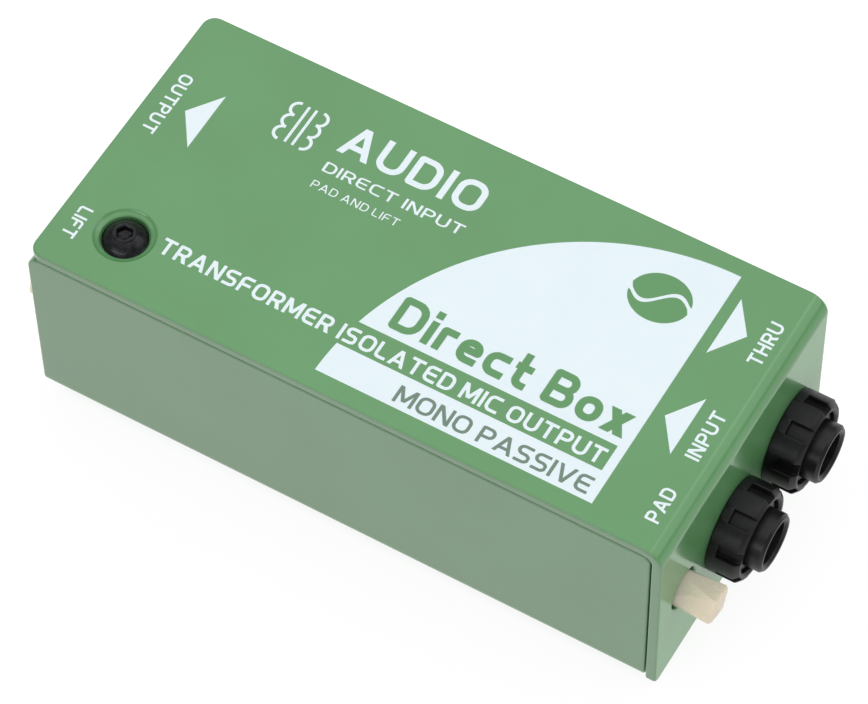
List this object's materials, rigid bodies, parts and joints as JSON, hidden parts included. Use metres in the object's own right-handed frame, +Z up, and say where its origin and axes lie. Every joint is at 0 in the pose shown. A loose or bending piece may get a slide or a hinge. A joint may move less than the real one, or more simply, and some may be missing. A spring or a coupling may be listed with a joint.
{
  "type": "direct injection box",
  "caption": "Compact passive direct box: folded green steel case, quarter-inch input and thru jacks with ring nuts, recessed three-pin output, pad and ground-lift push buttons.",
  "frame": {"origin": "middle of the underside of the no-slip pad, which is the middle of the case in plan", "axes": "+X out of the input and thru jacks, -X out of the output connector, +Z up, -Y the long side nearest the push buttons"},
  "size_m": [0.1117, 0.0476, 0.0355],
  "materials": {
    "cover_paint": "semi-gloss powder paint",
    "base_paint": "semi-gloss powder paint",
    "zinc_steel": "zinc plated",
    "screw_steel": "black oxide",
    "pad_rubber": "matt",
    "connector_plastic": "satin",
    "pin_metal": "polished plating",
    "tinned_wire": "tinned",
    "black_screw": "black oxide",
    "jack_plastic": "satin",
    "nut_plastic": "satin",
    "contact_brass": "stamped",
    "switch_plastic": "satin",
    "plunger_plastic": "satin",
    "button_plastic": "satin",
    "spring_steel": "drawn wire",
    "board_laminate": "solder mask",
    "core_laminations": "varnished laminations",
    "bobbin_plastic": "moulded",
    "winding_tape": "polyester tape",
    "resistor_lacquer": "lacquer",
    "capacitor_plastic": "moulded box"
  },
  "bodies": {
    "case": {"top_cover": "cover_paint", "base_shell": "base_paint", "captive_nut": "zinc_steel", "cover_screw": "screw_steel", "no_slip_pad": "pad_rubber", "output_housing": "connector_plastic", "output_carrier": "connector_plastic", "output_pins": "pin_metal", "output_leads": "tinned_wire", "output_screws": "black_screw", "input_jack_body": "jack_plastic", "input_jack_nut": "nut_plastic", "input_tip_contact": "contact_brass", "input_sleeve_contact": "contact_brass", "thru_jack_body": "jack_plastic", "thru_jack_nut": "nut_plastic", "thru_tip_contact": "contact_brass", "thru_sleeve_contact": "contact_brass", "pad_switch_body": "switch_plastic", "pad_spring": "spring_steel", "lift_switch_body": "switch_plastic", "lift_spring": "spring_steel", "switch_pins": "tinned_wire", "circuit_board": "board_laminate", "transformer_core": "core_laminations", "transformer_bobbin": "bobbin_plastic", "transformer_winding": "winding_tape", "transformer_strap": "zinc_steel", "transformer_pins": "tinned_wire", "resistors": "resistor_lacquer", "film_capacitor": "capacitor_plastic"},
    "pad_push": {"pad_plunger": "plunger_plastic", "pad_button": "button_plastic"},
    "lift_push": {"lift_plunger": "plunger_plastic", "lift_button": "button_plastic"}
  },
  "joints": [
    {"name": "pad_press", "type": "slide", "parent": "case", "child": "pad_push", "axis": [-1, 0, 0], "range_m": [0, 0.0025], "stiffness_N_per_m": 600, "springref_m": -0.0005, "deforming": ["pad_spring"]},
    {"name": "lift_press", "type": "slide", "parent": "case", "child": "lift_push", "axis": [1, 0, 0], "range_m": [0, 0.0025], "stiffness_N_per_m": 600, "springref_m": -0.0005, "deforming": ["lift_spring"]}
  ]
}
